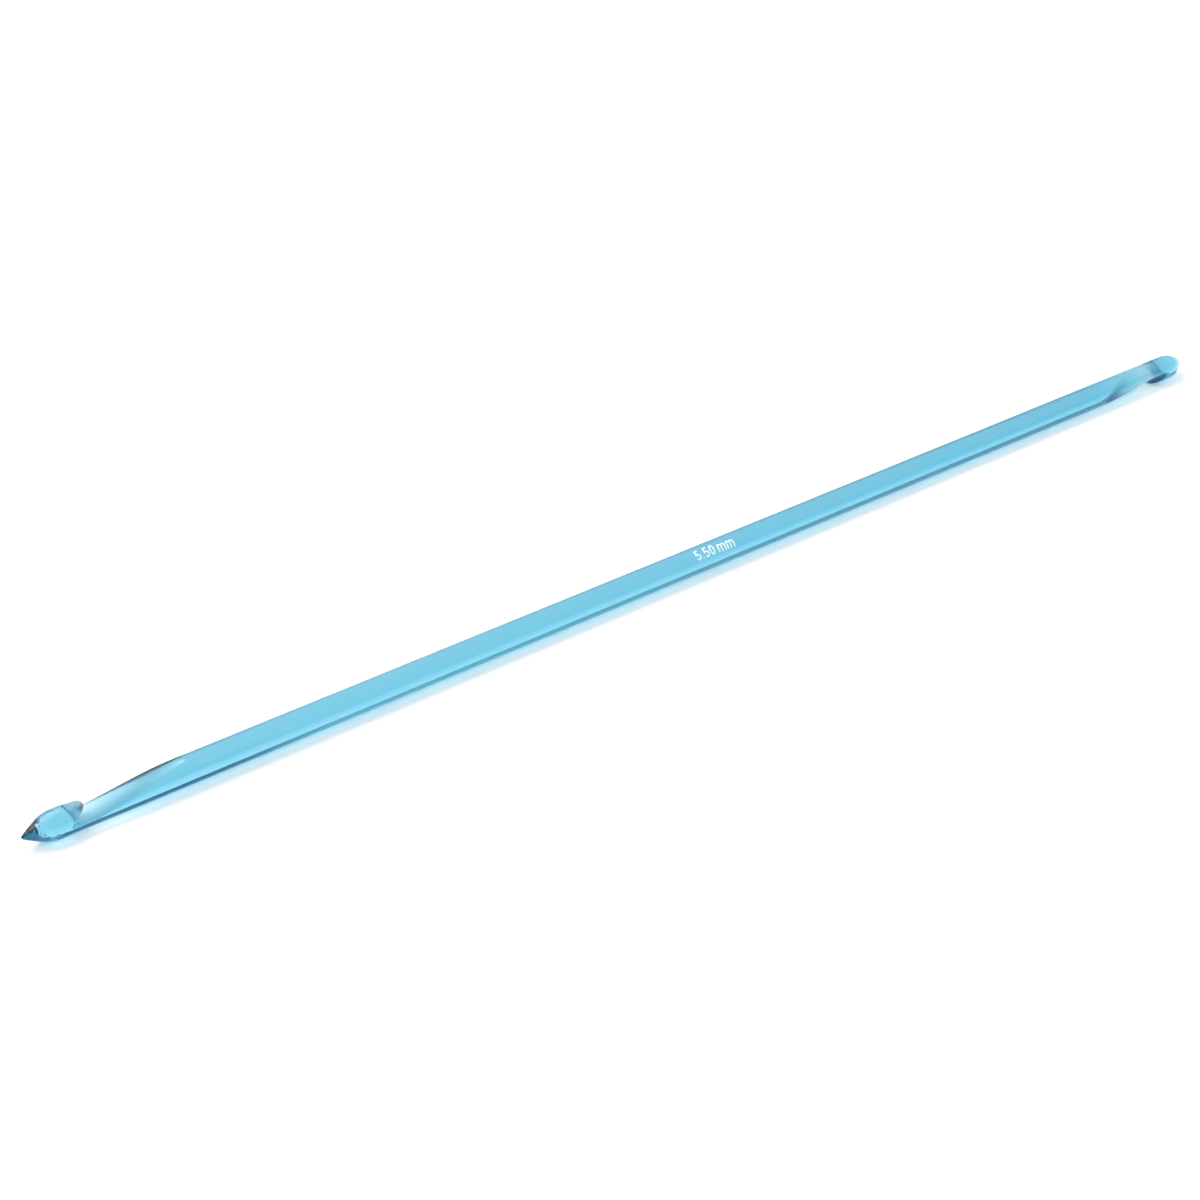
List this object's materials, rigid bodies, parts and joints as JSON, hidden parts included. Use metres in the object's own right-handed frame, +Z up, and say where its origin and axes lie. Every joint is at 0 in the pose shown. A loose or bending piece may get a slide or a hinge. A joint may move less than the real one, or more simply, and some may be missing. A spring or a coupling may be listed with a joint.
{
  "type": "tunisian crochet hook",
  "caption": "Double-ended tunisian crochet hook of clear light blue acrylic, with a pointed undercut hook head at each end of a straight round shaft.",
  "frame": {"origin": "under the middle of the rod, on the surface it lies on", "axes": "+X along the rod from the near head to the far head, +Z up; the near head's throat opens to +Z"},
  "size_m": [0.3, 0.0054, 0.0055],
  "materials": {
    "clear_blue_acrylic": "clear light blue cast acrylic, polished",
    "white_ink": "thin pad-printed white ink, slightly glossy"
  },
  "bodies": {
    "root": {"hook_body": "clear_blue_acrylic", "mark_1_digit_five": "white_ink", "mark_2_point": "white_ink", "mark_3_digit_five": "white_ink", "mark_4_digit_zero": "white_ink", "mark_5_letter_m": "white_ink", "mark_6_letter_m": "white_ink"}
  },
  "joints": []
}
